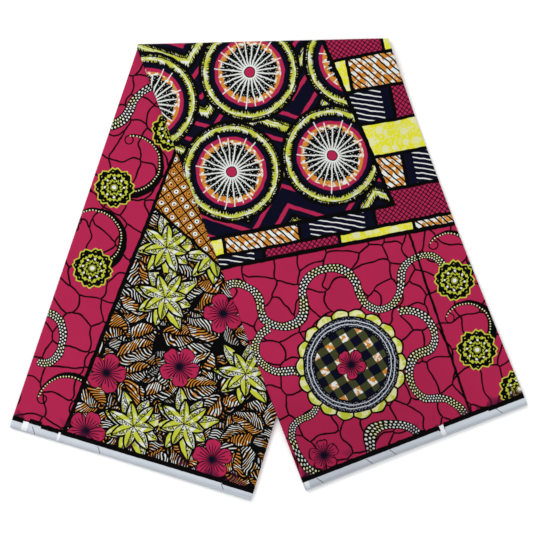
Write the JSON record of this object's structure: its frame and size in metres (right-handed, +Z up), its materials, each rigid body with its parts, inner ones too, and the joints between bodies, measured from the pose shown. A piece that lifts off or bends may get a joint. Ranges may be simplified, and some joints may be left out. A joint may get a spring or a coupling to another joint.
{
  "type": "folded length of wax print fabric",
  "caption": "Cotton wax print fabric folded into a long flat strip, and folded over once at the top so that it lies as two spread legs.",
  "frame": {"origin": "on the table, under the middle of the folded cloth's box", "axes": "+X to the right along the spread of the two legs, +Y towards the top fold, +Z up from the table"},
  "size_m": [0.6977, 0.6304, 0.0123],
  "materials": {
    "printed_cotton": "crisp waxed plain weave with a slight sheen",
    "layer_edges": "stacked folds of the same cotton, white at the selvedges"
  },
  "bodies": {
    "root": {"under_leg_face": "printed_cotton", "over_leg_face": "printed_cotton", "under_leg_layers": "layer_edges", "over_leg_layers": "layer_edges"}
  },
  "joints": []
}
